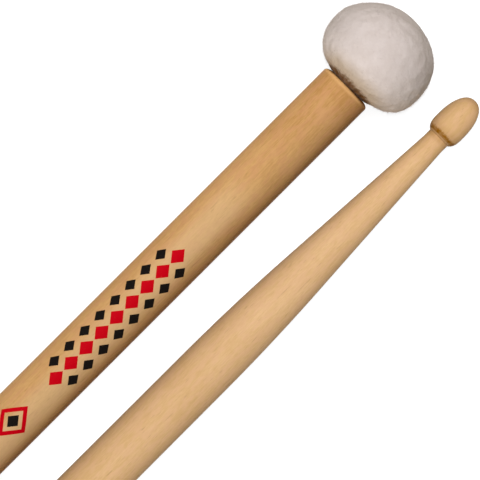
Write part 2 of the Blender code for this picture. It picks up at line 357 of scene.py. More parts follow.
# Ornament printed on the shaft of stick a: where it starts and ends, and its lozenges
RED_INK = (0.62, 0.0, 0.008)
BLACK_INK = (0.008, 0.006, 0.005)
INK_WEAR = 0.04
BAND = (-106.0, -57.4)
BAND_LOZENGES = 9
LOZENGE_HEIGHT = 4.4
SIDE_PLACE = 3.5
LARGE_LOZENGE = (-124.0, -113.0)
LARGE_HEIGHT = 9.0
ROW_END = 0.01
FAR_OUT = 9.0

# How far out in its lozenge each ink reaches, and how soft its edge is
CHAIN_REACH = 0.95
SIDE_REACH = 0.74
BAND_SOFTNESS = 0.05
LARGE_REACH = 0.98
LARGE_HOLE = 0.68
LARGE_CENTRE = 0.40
LARGE_SOFTNESS = 0.03


def lozenges(along, around, span, count, place, height):
    """How far out a point is in its lozenge of a row: 0 at the centre, 1 at the edge, more outside."""
    first, last = span
    pitch = (last - first) / count
    cell = abs(((along - first) / pitch).math("FRACT") - 0.5) * 2.0
    row = abs(around - place) * (2.0 / height)
    beyond = along.rising(first, first - ROW_END) + along.rising(last, last + ROW_END)
    return cell + row + beyond * FAR_OUT


def inked(out, reach, softness):
    """1 where a point lies no further out in its lozenge than the ink reaches."""
    return out.rising(reach, reach - softness)


def printed_marks(x, y, z):
    """Masks of the red and of the black ornament on the shaft."""
    around = (-y).math("ARCTAN2", -x) * (SHAFT_RADIUS / MM)
    first, last = BAND
    half_pitch = (last - first) / BAND_LOZENGES / 2.0
    between = (first + half_pitch, last - half_pitch)
    chain = lozenges(z, around, BAND, BAND_LOZENGES, 0.0, LOZENGE_HEIGHT)
    side_rows = [
        lozenges(z, around, between, BAND_LOZENGES - 1, place, LOZENGE_HEIGHT)
        for place in (-SIDE_PLACE, SIDE_PLACE)
    ]
    large = lozenges(z, around, LARGE_LOZENGE, 1, 0.0, LARGE_HEIGHT)
    ring = inked(large, LARGE_REACH, LARGE_SOFTNESS) - inked(large, LARGE_HOLE, LARGE_SOFTNESS)
    red = inked(chain, CHAIN_REACH, BAND_SOFTNESS) + ring
    black = sum(inked(row, SIDE_REACH, BAND_SOFTNESS) for row in side_rows)
    return red, black + inked(large, LARGE_CENTRE, LARGE_SOFTNESS)


def within(z, tip_end, butt_end):
    """1 along a stretch of the stick; at each end it comes in between two heights."""
    return z.rising(*tip_end) * z.rising(*butt_end)


def growth_rings(finish, place, x, y, shift):
    """Growth rings about a pith beside the stick, from 0 to 1."""
    wander = finish.pattern(place, RING_WANDERING, shift) * RING_WANDER
    far = distance(x - PITH[0], y - PITH[1]) + wander
    return (far * (2.0 * math.pi / RING_WIDTH)).math("COSINE") * 0.5 + 0.5


def wood_depth(finish, place, z, rings, fibres, shift):
    """How deep the wood's tone is: its patterns, and the stretches that are darker or paler."""
    flecks = finish.pattern(place, FLECKS, shift)
    clouds = finish.pattern(place, CLOUDS, shift)
    depth = rings * RING_DEPTH + fibres.rising(*SOFT_RANGE) * FIBRE_DEPTH
    depth = depth + flecks.rising(*FIRM_RANGE) * FLECK_DEPTH + LEAST_DEPTH
    depth = depth + clouds.rising(*SOFT_RANGE) * CLOUD_DEPTH
    depth = depth + z.rising(*BUTT_STRETCH) * BUTT_DEPTH + z.rising(*NECK_STRETCH) * NECK_DEPTH
    depth = depth + within(z, *DARK_STRETCH) * DARK_STRETCH_DEPTH
    return depth + within(z, *PALE_STRETCH) * PALE_STRETCH_DEPTH


def painted_highlight_streak(y, z):
    """A painted highlight: a paler streak that slants slowly over the middle line of the stick's upper and
    lower sides.
    """
    off_centre = abs(y - (z - HIGHLIGHT_CROSSING) * HIGHLIGHT_SLANT)
    return off_centre.rising(*HIGHLIGHT_SIDES) * within(z, *HIGHLIGHT_STRETCH)


def end_grain(finish, laid):
    """How much end grain shows: more, the more squarely the surface faces the tip."""
    sockets = {0: finish.node("ShaderNodeTexCoord", output="Normal"), 1: laid.to_3x3() @ -UP}
    facing = finish.node("ShaderNodeVectorMath", {"operation": "DOT_PRODUCT"}, sockets, "Value")
    return facing.rising(*END_GRAIN_FACING) * END_GRAIN_SHARE


def lacquer_and_painted_shade(finish, place, z, frayed, shift):
    """Painted shade behind the bead: in the groove, where the lacquered finish also gathers, on the bead's
    back, and a thin painted shadow of the bead on the neck.
    """
    on_neck = within(z, *NECK_PAINTED_SHADOW) * NECK_PAINTED_SHADOW_SHARE
    in_groove = frayed.rising(*GROOVE_FRONT) * GROOVE_SHARE
    on_bead = frayed.rising(*BEAD_PAINTED_SHADE) * BEAD_PAINTED_SHADE_SHARE
    mottles = finish.pattern(place, DARK_BAND_MOTTLES, shift).rising(*FIRM_RANGE)
    thickness = mottles * DARK_BAND_MOTTLED + (1.0 - DARK_BAND_MOTTLED / 2.0)
    return (on_neck + z.rising(*GROOVE_BACK) * (in_groove + on_bead)) * thickness


def hickory(name, laid, tones, shift, printed):
    """Satin lacquered hickory: rings, fibres and pores, tones that change along it, the ornament, and painted
    light and shade: a highlight along the middle, a paler butt rim and shade behind the bead.
    """
    finish = Finish(name)
    place = finish.place(laid)
    x, y, z = finish.split(place)
    rings = growth_rings(finish, place, x, y, shift)
    fibres = finish.pattern(place, FIBRES, shift)
    blush = finish.pattern(place, BLUSH, shift).rising(*BLUSH_RANGE)
    pores = finish.pattern(place, PORES, shift).rising(*PORE_RANGE)
    pores = pores * (rings * PORES_IN_RINGS + (1.0 - PORES_IN_RINGS))
    frayed = z + fibres * FRAY - FRAY / 2.0
    depth = wood_depth(finish, place, z, rings, fibres, shift)
    lacquer_and_shade = lacquer_and_painted_shade(finish, place, z, frayed, shift)
    colour = finish.blend(depth, tones["pale"], tones["deep"])
    colour = finish.blend(blush * BLUSH_SHARE, colour, tones["rosy"])
    # painted highlight along the middle of the upper and lower sides
    colour = finish.blend(painted_highlight_streak(y, z) * HIGHLIGHT_SHARE, colour, tones["highlight_tone"])
    colour = finish.blend(end_grain(finish, laid), colour, END_GRAIN_COLOUR)
    # painted highlight: the butt's rim is made paler, against the head's shade
    colour = finish.blend(frayed.rising(*RIM_HIGHLIGHT) * RIM_HIGHLIGHT_SHARE, colour, tones["pale"])
    # painted shade and shadow behind the bead, with thicker lacquering in the groove
    colour = finish.blend(lacquer_and_shade, colour, LACQUER_AND_SHADE_COLOUR)
    colour = finish.blend(pores * PORE_SHARE, colour, PORE_COLOUR)
    if printed:
        worn = finish.pattern(place, INK_SPECKS).rising(*INK_RANGE) * INK_WEAR + (1.0 - INK_WEAR)
        red, black = printed_marks(x, y, z)
        colour = finish.blend(red * worn, colour, RED_INK)
        colour = finish.blend(black * worn, colour, BLACK_INK)
    return finish.done(
        Base_Color=colour,
        Roughness=fibres * FIBRE_ROUGHNESS + SATIN_ROUGHNESS,
        Specular_IOR_Level=tones["gloss"],
        Normal=finish.bump(fibres * FIBRE_RELIEF - pores, distance=0.02 * MM, strength=0.6),
    )


# Bare wood of the inner pieces

BEECH = {"light": (0.64, 0.45, 0.27), "dark": (0.50, 0.33, 0.18), "fibre_width": 0.5}
MAPLE = {"light": (0.74, 0.58, 0.40), "dark": (0.62, 0.46, 0.29), "fibre_width": 0.9}
FIBRE_SLENDERNESS = 12.0
BARE_FIBRE_DETAIL = 3.0
BARE_FLECKS = ((0.2, 0.2, 1.6), 1.0, 0.0)
BARE_FLECK_SHARE = 0.5
BARE_FLECK_SHADE = 0.5


def bare_wood(name, laid, light, dark, fibre_width):
    """Unfinished hardwood, with its fibres along the stick."""
    finish = Finish(name)
    place = finish.place(laid)
    fibre = (fibre_width, fibre_width, FIBRE_SLENDERNESS * fibre_width)
    fibres = finish.pattern(place, (fibre, BARE_FIBRE_DETAIL, 0.0))
    flecks = finish.pattern(place, BARE_FLECKS).rising(*BARE_FLECK_RANGE)
    fleck_colour = tuple(BARE_FLECK_SHADE * part for part in dark)
    colour = finish.blend(fibres.rising(*SOFT_RANGE), light, dark)
    colour = finish.blend(flecks * BARE_FLECK_SHARE, colour, fleck_colour)
    return finish.done(
        Base_Color=colour,
        Roughness=fibres * 0.2 + 0.6,
        Normal=finish.bump(fibres - flecks, distance=0.04 * MM, strength=0.6),
    )


# Felt's finish

# The soft felt has painted shade round its hem; the firm felt has none
SOFT_FELT = {"light": (0.81, 0.722, 0.70), "dark": (0.72, 0.63, 0.597), "hem_shade_painted": True}
FIRM_FELT = {"light": (0.60, 0.55, 0.49), "dark": (0.42, 0.37, 0.32), "hem_shade_painted": False}
FELT_CLUMPS = ((3.4, 3.4, 3.4), 2.0, 0.0)
FELT_TUFTS = ((0.55, 0.55, 0.55), 3.0, 0.0)
SHEEN_COLOUR = (1.0, 0.95, 0.9, 1.0)

# Painted shade round the drawn hem above the butt, brown like the bounce from the wood: its shift from the
# axis towards the upper side, where it fades out, and its ragged edge
HEM_SHADE_COLOUR = (0.18, 0.073, 0.006)
HEM_SHADE_SHIFT = -2.6
HEM_SHADE_REACH = (8.4, 5.8)
HEM_SHADE_RISE = (3.3, 1.9)
HEM_SHADE_SHARE = 0.97
HEM_SHADE_RAGGED = 5.0
HEM_SHADE_FLECKS = ((0.9, 0.9, 0.9), 2.0, 0.0)

# Fainter painted shade round it, which reaches further over the upper and lower sides
FAINT_SHADE_COLOUR = (0.45, 0.30, 0.10)
FAINT_REACH = (14.0, 9.5)
FAINT_SIDES = (12.0, 6.0)
FAINT_RISE = (6.8, 1.8)
FAINT_SHADE_SHARE = 0.45


def felt(name, laid, light, dark, hem_shade_painted):
    """Wool felt: matted fibres in soft clumps, and painted shade, brown like the bounce from the wood, where
    the hem is drawn in.
    """
    finish = Finish(name)
    place = finish.place(laid)
    clumps = finish.pattern(place, FELT_CLUMPS).rising(*SOFT_RANGE)
    tufts = finish.pattern(place, FELT_TUFTS)
    colour = finish.blend(clumps * 0.5 + tufts * 0.5, light, dark)
    if hem_shade_painted:
        x, y, z = finish.split(place)
        away = distance(x - HEM_SHADE_SHIFT, y)
        ragged = finish.pattern(place, HEM_SHADE_FLECKS) * HEM_SHADE_RAGGED - HEM_SHADE_RAGGED / 2.0
        faint = away.rising(*FAINT_REACH) * abs(y).rising(*FAINT_SIDES) * z.rising(*FAINT_RISE)
        strong = (away + ragged).rising(*HEM_SHADE_REACH) * z.rising(*HEM_SHADE_RISE)
        # painted shade round the hem, stronger towards the upper side
        colour = finish.blend(faint * FAINT_SHADE_SHARE, colour, FAINT_SHADE_COLOUR)
        colour = finish.blend(strong * HEM_SHADE_SHARE, colour, HEM_SHADE_COLOUR)
    return finish.done(
        Base_Color=colour,
        Roughness=0.95,
        Specular_IOR_Level=0.1,
        Sheen_Weight=0.2,
        Sheen_Roughness=0.5,
        Sheen_Tint=SHEEN_COLOUR,
        Normal=finish.bump(tufts, distance=0.15 * MM, strength=0.5),
    )


# Thread's finish

THREAD_LIGHT = (0.66, 0.57, 0.44)
THREAD_DARK = (0.44, 0.36, 0.26)
THREAD_STRANDS = ((0.12, 0.12, 0.12), 2.0, 0.0)


def waxed_thread(name, laid):
    """Waxed cotton with fine strands."""
    finish = Finish(name)
    strands = finish.pattern(finish.place(laid), THREAD_STRANDS)
    return finish.done(
        Base_Color=finish.blend(strands, THREAD_LIGHT, THREAD_DARK),
        Roughness=0.55,
        Normal=finish.bump(strands, distance=0.03 * MM, strength=0.6),
    )


# Turned pieces


def superellipse(width, height, fullness, first, last, steps):
    """Points (across, along) of a superellipse quarter, between two parameter angles."""
    power = 2.0 / fullness
    points = []
    for step in range(steps + 1):
        turn = first + (last - first) * step / steps
        across = width * max(math.cos(turn), 0.0) ** power
        along = height * max(math.sin(turn), 0.0) ** power
        points.append((across, along))
    return points


def angle_at(share, fullness):
    """Parameter angle at which a superellipse is this share of its full width."""
    return math.acos(share ** (fullness / 2.0))


def shoulder_radius(from_tip):
    """Radius of the stick's shoulder, where the taper bends into the shaft, at a distance from the tip."""
    run = from_tip - SHOULDER_FRONT
    start = NECK_RADIUS + TAPER_SLOPE * TAPER_LENGTH
    return start + TAPER_SLOPE * run * (1.0 - run / (2.0 * SHOULDER_LENGTH))


def stick_outline():
    """Half outline of the stick from its dowel hole over the rim, shaft, shoulder and neck to the tip."""
    face_radius = SHAFT_RADIUS - RIM_WIDTH
    points = [
        (0.0, -HOLE_DEPTH - HOLE_POINT),
        (HOLE_RADIUS, -HOLE_DEPTH),
        (HOLE_RADIUS, -HOLE_CHAMFER),
        (HOLE_RADIUS + HOLE_CHAMFER, 0.0),
    ]
    for step in range(RIM_STEPS + 1):
        turn = math.pi / 2 * step / RIM_STEPS
        points.append((face_radius + RIM_WIDTH * math.sin(turn), -RIM_DEPTH * (1.0 - math.cos(turn))))
    foregrip = SHOULDER_BACK + FOREGRIP_LENGTH - STICK_LENGTH
    for step in range(1, SHAFT_STEPS + 1):
        points.append((SHAFT_RADIUS, -RIM_DEPTH + (foregrip + RIM_DEPTH) * step / SHAFT_STEPS))
    for step in range(SHOULDER_STEPS + 1):
        from_tip = SHOULDER_BACK - SHOULDER_LENGTH * step / SHOULDER_STEPS
        points.append((shoulder_radius(from_tip), from_tip - STICK_LENGTH))
    neck_angle = angle_at(NECK_RADIUS / BEAD_RADIUS, BEAD_BACK_FULLNESS)
    back = superellipse(BEAD_RADIUS, BEAD_BACK_LENGTH, BEAD_BACK_FULLNESS, neck_angle, 0.0, BEAD_BACK_STEPS)
    front = superellipse(BEAD_RADIUS, BEAD_CROWN, BEAD_FRONT_FULLNESS, 0.0, math.pi / 2, BEAD_FRONT_STEPS)
    points.append((NECK_RADIUS, NECK_BACK - STICK_LENGTH))
    points += [(radius, BEAD_CROWN + along - STICK_LENGTH) for radius, along in back]
    points += [(radius, BEAD_CROWN - along - STICK_LENGTH) for radius, along in front[1:-1]]
    points.append((0.0, -STICK_LENGTH))
    return points


def head_outline(radius, top, floor, end_radius, steps):
    """Half outline of a head form from its top pole over the equator to end_radius underneath."""
    upper = superellipse(radius, top - HEAD_EQUATOR, 2.0, math.pi / 2, 0.0, steps[0])
    last = angle_at(end_radius / radius, UNDERSIDE_FULLNESS)
    lower = superellipse(radius, HEAD_EQUATOR - floor, UNDERSIDE_FULLNESS, 0.0, last, steps[1])
    points = [(0.0, top)]
    points += [(across, HEAD_EQUATOR + along) for across, along in upper[1:]]
    points += [(across, HEAD_EQUATOR - along) for across, along in lower[1:]]
    return points


def cover_outside():
    """Outside of the cover in fine steps: the round head, the shallow underside and the hem's edge."""
    points = head_outline(HEAD_RADIUS, HEAD_HEIGHT, HEAD_FLOOR, UNDERSIDE_RADIUS, COVER_STEPS)
    edge_radius, edge_height = points[-1]
    for step in range(1, COVER_FLOOR_STEPS + 1):
        share = 1.0 - step / COVER_FLOOR_STEPS
        radius = HEM_EDGE + (edge_radius - HEM_EDGE) * share
        points.append((radius, SEAT_GAP + (edge_height - SEAT_GAP) * share**2))
    return points


def put_in_order(form):
    """Number the faces by their corners, because spin leaves them in another order on each run."""
    form.verts.index_update()
    in_order = sorted(form.faces, key=lambda face: [corner.index for corner in face.verts])
    for number, face in enumerate(in_order):
        face.index = number
    form.faces.sort()


def make_whole(form):
    """Merge the corners that lie on one another, and turn the faces outwards."""
    bmesh.ops.remove_doubles(form, verts=form.verts[:], dist=MERGED_WITHIN)
    bmesh.ops.recalc_face_normals(form, faces=form.faces[:])


def turned(outline, steps):
    """A bmesh of a half outline spun once round the upright axis."""
    form = bmesh.new()
    corners = [form.verts.new((radius, 0.0, height)) for radius, height in outline]
    edges = [form.edges.new(pair) for pair in zip(corners, corners[1:])]
    bmesh.ops.spin(
        form,
        geom=corners + edges,
        axis=UP,
        cent=(0.0, 0.0, 0.0),
        angle=2.0 * math.pi,
        steps=steps,
        use_merge=True,
    )
    make_whole(form)
    put_in_order(form)
    return form


def outward_ways(form):
    """The way that each corner of a form faces."""
    form.normal_update()
    return [corner.normal.copy() for corner in form.verts]


def add_piece(name, form, laid, material, node, sharp_angle=40.0):
    """An object for a finished form, laid down with its stick; it stands for the CAD node of that name."""
    form.transform(laid)
    mesh = bpy.data.meshes.new(name)
    form.to_mesh(mesh)
    form.free()
    mesh.shade_smooth()
    mesh.set_sharp_from_angle(angle=math.radians(sharp_angle))
    mesh.materials.append(material)
    piece = bpy.data.objects.new(name, mesh)
    bpy.context.scene.collection.objects.link(piece)
    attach(piece, "root")
    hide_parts(node)
    return piece


def make_stick(mark, laid, material):
    """The stick itself, from its dowel hole to its tip."""
    form = turned(stick_outline(), STICK_ROUND_STEPS)
    return add_piece(f"hickory_stick_{mark}", form, laid, material, f"stick_{mark}")


# Felt pieces

# Uneven stuffing: degrees from the crown towards -y, height of the lump in millimetres, half width in degrees
HEAD_LUMPS = (
    (-113.0, -0.42, 11.0),
    (-53.0, -0.36, 14.0),
    (50.0, 0.22, 12.0),
)

# Uneven surface, in millimetres: the size of a swell, clump or tuft and its height; the sides are rougher
SWELL = (8.0, 0.12)
CLUMP = (2.0, 0.14)
TUFT = (0.8, 0.07)
TOP_ROUGHNESS = 0.45
ADDED_SIDE_ROUGHNESS = 1.1
RELIEF_FADE = 3.0 * MM
WRAP_TUFT = 1.2
WRAP_RELIEF = 0.12

# Pleats under the head, where its cover is drawn in: rise and fall say how steeply a pleat starts and ends
PLEATS = 20
PLEAT_DEPTH = 0.5 * MM
PLEAT_REACH = 10.2 * MM
PLEAT_RISE = 1.5
PLEAT_FALL = 2.0
PLEAT_SHARPNESS = 1.5
RIDGE_REACH = 5.8 * MM
RIDGE_FADE = 1.6 * MM
RIDGE_CLEARANCE = 0.02 * MM

# Unevenness of the pleats: how often noise changes round the hem, and how much it moves or lifts them
PLEAT_CHANGES = 2.0
PLEAT_WANDER = 1.6
FOLD_HEIGHT = 0.35
FOLD_TUFT_CHANGES = 7.0
FOLD_TUFT_HEIGHT = 0.3
RIDGE_CHANGES = 1.5
RIDGE_WANDER = 0.4

# Superellipse between the cover's outer and inner surface, and how much of the hem's height is outside
MID_COVER_FULLNESS = 2.2
OUTER_HEM_SHARE = 0.8

# Nap: fibres tried, their forms, thickness and lean as shares of their length, and lengths in millimetres
NAP_COUNT = 13500
NAP_FORMS = 12
NAP_SIDES = 3
NAP_RADIUS = 0.026
NAP_LEAN = (0.4, 1.3)
NAP_LENGTH = (0.38, 0.9)
NAP_ROOT = 0.12
NAP_SPREAD = 1.1
NAP_LEAST_RISE = 0.15
NAP_CLEARANCE = 1.7


def clamped(value):
    """The value, kept between 0 and 1."""
    return min(max(value, 0.0), 1.0)


def bumps(moved, kind):
    """Height of noise at a point, in millimetres; kind is the size of a bump and its height."""
    size, height = kind
    return noise.noise(moved / size) * height


def felt_relief(point, upwards, shift):
    """Height of the felt's uneven surface at a point: stuffing, soft lumps, clumps of wool and tufts."""
    moved = point / MM + Vector((shift, shift, shift))
    height = bumps(moved, SWELL)
    from_middle = (point - UP * HEAD_EQUATOR).normalized()
    for direction, lump_height, half_width in HEAD_LUMPS:
        turn = math.radians(direction)
        off = from_middle.angle(Vector((0.0, -math.sin(turn), math.cos(turn))))
        height += lump_height * math.exp(-((off / math.radians(half_width)) ** 2) / 2.0)
    rough = TOP_ROUGHNESS + ADDED_SIDE_ROUGHNESS * (1.0 - upwards**2)
    height += (bumps(moved, CLUMP) + bumps(moved, TUFT)) * rough
    return height * MM


def pleat_lift(point, shift):
    """How far the underside is drawn up between its gathers, or down on their ridges, near the butt."""
    radius = math.hypot(point.x, point.y)
    turn = math.atan2(point.y, point.x)
    around = Vector((math.cos(turn), math.sin(turn), 0.0)) * PLEAT_CHANGES
    wave = noise.noise(around + UP * shift) * PLEAT_WANDER
    tuft = noise.noise(around * FOLD_TUFT_CHANGES + UP * shift)
    fold = clamped(0.5 + FOLD_HEIGHT * math.cos(PLEATS * turn + wave) + FOLD_TUFT_HEIGHT * tuft)
    reach = RIDGE_REACH + noise.noise(around * RIDGE_CHANGES - UP * shift) * RIDGE_WANDER * MM
    outward = clamped((radius - reach) / RIDGE_FADE)
    inward = clamped((PLEAT_REACH - radius) / (PLEAT_REACH - RIDGE_REACH))
    down = (SEAT_GAP - RIDGE_CLEARANCE) * (1.0 - outward)
    up = PLEAT_DEPTH * clamped(outward * PLEAT_RISE) * clamped(inward * PLEAT_FALL)
    return up * fold**PLEAT_SHARPNESS - down


def inside_cover(point):
    """Whether a point lies on the inner side of the cover, which stays plain."""
    radius = math.hypot(point.x, point.y)
    if radius < UNDERSIDE_RADIUS and point.z < HEAD_EQUATOR / 2:
        return point.z > SEAT_GAP + COVER_THICKNESS * OUTER_HEM_SHARE
    above = point.z - HEAD_EQUATOR
    half_height = HEAD_HEIGHT - HEAD_EQUATOR if above > 0.0 else HEAD_EQUATOR - HEAD_FLOOR
    shell = COVER_THICKNESS / 2
    across = (radius / (HEAD_RADIUS - shell)) ** MID_COVER_FULLNESS
    along = abs(above / (half_height - shell)) ** MID_COVER_FULLNESS
    return across + along < 1.0


def resting_plane(laid):
    """The plane that the sticks lie on, in a stick's own frame: a point of it and the way up from it."""
    to_stick = laid.inverted()
    return to_stick.to_translation(), (to_stick.to_3x3() @ UP).normalized()


def fibre_forms(dice):
    """Small curved wool fibres, of length 1 and standing at the origin, as meshes to be copied."""
    forms = []
    for number in range(NAP_FORMS):
        form = bmesh.new()
        bmesh.ops.create_cone(
            form,
            cap_ends=True,
            cap_tris=False,
            segments=NAP_SIDES,
            radius1=NAP_RADIUS,
            radius2=0.0,
            depth=1.0,
        )
        bmesh.ops.translate(form, verts=form.verts[:], vec=UP / 2.0)
        bmesh.ops.bisect_plane(
            form,
            geom=form.verts[:] + form.edges[:] + form.faces[:],
            plane_co=UP / 2.0,
            plane_no=UP,
        )
        lean = dice.uniform(*NAP_LEAN)
        for corner in form.verts:
            corner.co.x += lean * corner.co.z**2
        mesh = bpy.data.meshes.new(f"fibre_{number}")
        form.to_mesh(mesh)
        form.free()
        forms.append(mesh)
    return forms


def napped(face):
    """Whether fibres stand on a face: outside, and clear of the hem."""
    middle = face.calc_center_median()
    return not inside_cover(middle) and math.hypot(middle.x, middle.y) > HEM_EDGE + HEM_ROUND


def add_nap(form, laid, dice):
    """Stand short fibres all over the outside of the felt, clear of the patch that it lies on."""
    surface, upright = resting_plane(laid)
    outside = [face for face in form.faces if napped(face)]
    roots = dice.choices(outside, weights=[face.calc_area() for face in outside], k=NAP_COUNT)
    fibres = fibre_forms(dice)
    shapes = [[Vector(corner.co) for corner in mesh.vertices] for mesh in fibres]
    nap = bmesh.new()
    for root in roots:
        share = dice.random()
        foot = root.verts[0].co.lerp(root.verts[2 % len(root.verts)].co, share)
        astray = Vector([dice.uniform(-1.0, 1.0) for _ in range(3)])
        way = (root.normal + NAP_SPREAD * astray).normalized()
        if way.dot(root.normal) < NAP_LEAST_RISE:
            way = (way + root.normal).normalized()
        length = dice.uniform(*NAP_LENGTH) * MM
        tip = foot + way * length
        if (foot - surface).dot(upright) < NAP_CLEARANCE * length:
            continue
        if tip.z < RIDGE_CLEARANCE and math.hypot(tip.x, tip.y) < SHAFT_RADIUS + SEAT_GAP:
            continue
        turn = way.to_track_quat("Z", "X").to_matrix().to_4x4()
        spin = Matrix.Rotation(dice.uniform(0.0, 2.0 * math.pi), 4, "Z")
        number = dice.randrange(NAP_FORMS)
        place = Matrix.Translation(foot - way * NAP_ROOT * MM) @ turn @ spin @ Matrix.Scale(length, 4)
        fibre = fibres[number]
        fibre.vertices.foreach_set("co", [part for corner in shapes[number] for part in place @ corner])
        nap.from_mesh(fibre)
    whole = bpy.data.meshes.new("nap")
    nap.to_mesh(whole)
    nap.free()
    form.from_mesh(whole)
    for mesh in (*fibres, whole):
        bpy.data.meshes.remove(mesh)


def make_felt_head(mark, laid, material, seed):
    """Thick felt cover: gathered underneath, uneven and napped outside, pressed flat where it lies."""
    inner_radius = HEAD_RADIUS - COVER_THICKNESS
    inner_top = HEAD_HEIGHT - COVER_THICKNESS
    inner_floor = SEAT_GAP + COVER_THICKNESS
    lining = head_outline(inner_radius, inner_top, inner_floor, HEM_RADIUS, COVER_LINING_STEPS)
    outline = cover_outside() + [(HEM_RADIUS, SEAT_GAP + HEM_ROUND)] + lining[::-1]
    form = turned(outline, COVER_ROUND_STEPS)
    surface, upright = resting_plane(laid)
    for corner, way in zip(form.verts, outward_ways(form)):
        radius = math.hypot(corner.co.x, corner.co.y)
        if inside_cover(corner.co) or radius < HEM_EDGE:
            continue
        lift = felt_relief(corner.co, way.dot(upright), seed)
        if corner.co.z < inner_floor and radius < PLEAT_REACH:
            corner.co.z += pleat_lift(corner.co, seed)
            lift *= min(1.0, (radius - HEM_EDGE) / RELIEF_FADE)
        corner.co += way * lift
        below = (corner.co - surface).dot(upright)
        if below < 0.0:
            corner.co -= upright * below
    form.normal_update()
    add_nap(form, laid, random.Random(seed))
    name = f"felt_head_{mark}"
    piece = add_piece(name, form, laid, material, f"head_cover_{mark}", sharp_angle=180.0)
    return piece


def make_felt_wrap(mark, laid, material, seed):
    """Firm felt layer under the cover, with a slightly uneven surface."""
    inner_floor = SEAT_GAP + COVER_THICKNESS
    radius = HEAD_RADIUS - COVER_THICKNESS - SEAT_GAP
    top = HEAD_HEIGHT - COVER_THICKNESS - SEAT_GAP
    inner_radius = radius - WRAP_THICKNESS
    inner_top = top - WRAP_THICKNESS
    outside = head_outline(radius, top, SEAT_GAP + inner_floor, WRAP_OPENING, WRAP_STEPS)
    lining = head_outline(inner_radius, inner_top, inner_floor, WRAP_OPENING, WRAP_LINING_STEPS)
    form = turned(outside + lining[::-1], WRAP_ROUND_STEPS)
    for corner, way in zip(form.verts, outward_ways(form)):
        moved = corner.co / MM + Vector((seed, 0.0, 0.0))
        corner.co -= way * (0.5 + 0.5 * noise.noise(moved / WRAP_TUFT)) * WRAP_RELIEF * MM
    name = f"firm_wrap_{mark}"
    piece = add_piece(name, form, laid, material, f"felt_wrap_{mark}")
    return piece


# Thread, whose two plies are twisted as they wind: a ply's radius is a share of the thread's diameter

PLY_SHARE = 0.27
PLY_TWISTS = 22


def make_drawstring(mark, laid, material):
    """Two-ply thread wound round the dowel inside the hem."""
    winding = COVER_THICKNESS - 2.0 * THREAD_END_ROOM - THREAD_DIAMETER
    turns = winding / THREAD_PITCH
    start = SEAT_GAP + THREAD_END_ROOM + THREAD_DIAMETER / 2
    ply_radius = THREAD_DIAMETER * PLY_SHARE
    off_centre = THREAD_DIAMETER / 2 - ply_radius
    count = round(turns * THREAD_TURN_STEPS)
    curve = bpy.data.curves.new("plies", "CURVE")
    curve.dimensions = "3D"
    curve.bevel_depth = ply_radius
    curve.bevel_resolution = 1
    curve.use_fill_caps = True
    for ply in range(2):
        spline = curve.splines.new("POLY")
        spline.points.add(count)
        for step in range(count + 1):
            share = step / count
            turn = 2.0 * math.pi * turns * share
            twist = 2.0 * math.pi * PLY_TWISTS * share + math.pi * ply
            radius = THREAD_RADIUS + off_centre * math.cos(twist)
            height = start + winding * share + off_centre * math.sin(twist)
            spline.points[step].co = (radius * math.cos(turn), radius * math.sin(turn), height, 1.0)
    guide = bpy.data.objects.new("plies", curve)
    bpy.context.scene.collection.objects.link(guide)
    evaluated = guide.evaluated_get(bpy.context.evaluated_depsgraph_get())
    tube = bpy.data.meshes.new_from_object(evaluated)
    form = bmesh.new()
    form.from_mesh(tube)
    bpy.data.objects.remove(guide, do_unlink=True)
    make_whole(form)
    return add_piece(f"drawn_thread_{mark}", form, laid, material, f"drawstring_{mark}")


# Drumstick


def refinish(node, material):
    """Give a CAD piece that keeps its own shape its finish, and return it."""
    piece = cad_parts[node]
    piece.data.materials.clear()
    piece.data.materials.append(material)
    return piece


def make_drumstick(mark, side, tones, seed):
    """All six pieces of one stick: new ones, and the CAD's dowel and core with a finish."""
    laid = laid_frame(side)
    wood = hickory(f"hickory_{mark}", laid, tones, seed, printed=side > 0)
    soft = felt(f"soft_felt_{mark}", laid, **SOFT_FELT)
    firm = felt(f"firm_felt_{mark}", laid, **FIRM_FELT)
    return [
        make_stick(mark, laid, wood),
        make_felt_head(mark, laid, soft, seed),
        make_felt_wrap(mark, laid, firm, seed),
        make_drawstring(mark, laid, waxed_thread(f"thread_{mark}", laid)),
        refinish(f"head_dowel_{mark}", bare_wood(f"beech_{mark}", laid, **BEECH)),
        refinish(f"head_core_{mark}", bare_wood(f"maple_{mark}", laid, **MAPLE)),
    ]


# Studio

WHITE = (1.0, 1.0, 1.0, 1.0)
FLOOR_REACH = 30.0
FLOOR_COLOUR = (0.15, 0.15, 0.15, 1.0)
FLOOR_GLOW = 0.9
FLOOR_FADE = (0.3, 1.2)
BOUNCE_COLOUR = (0.10, 0.088, 0.062, 1.0)
ROOM_COLOUR = (1.0, 0.86, 0.6, 1.0)
ROOM_STRENGTH = 0.09

# Lamps: the way to each from what it aims at, its side in metres, its level and its colour
LAMP_DISTANCE = 1.6
WHITE_LIGHT = (1.0, 1.0, 1.0)
WARM_LIGHT = (1.0, 0.93, 0.80)
KEY_OF_A = (Vector((0.40, 0.32, 1.0)), 0.25, 0.975, WHITE_LIGHT)
KEY_OF_HEAD = (Vector((0.16, 0.225, 1.0)), 0.8, 0.912, WHITE_LIGHT)
FILL_OF_HEAD = (Vector((-1.0, -0.2, 0.14)), 0.4, 0.33, WARM_LIGHT)
KEY_OF_B = (Vector((0.15, 0.03, 1.0)), 0.8, 1.01, WHITE_LIGHT)


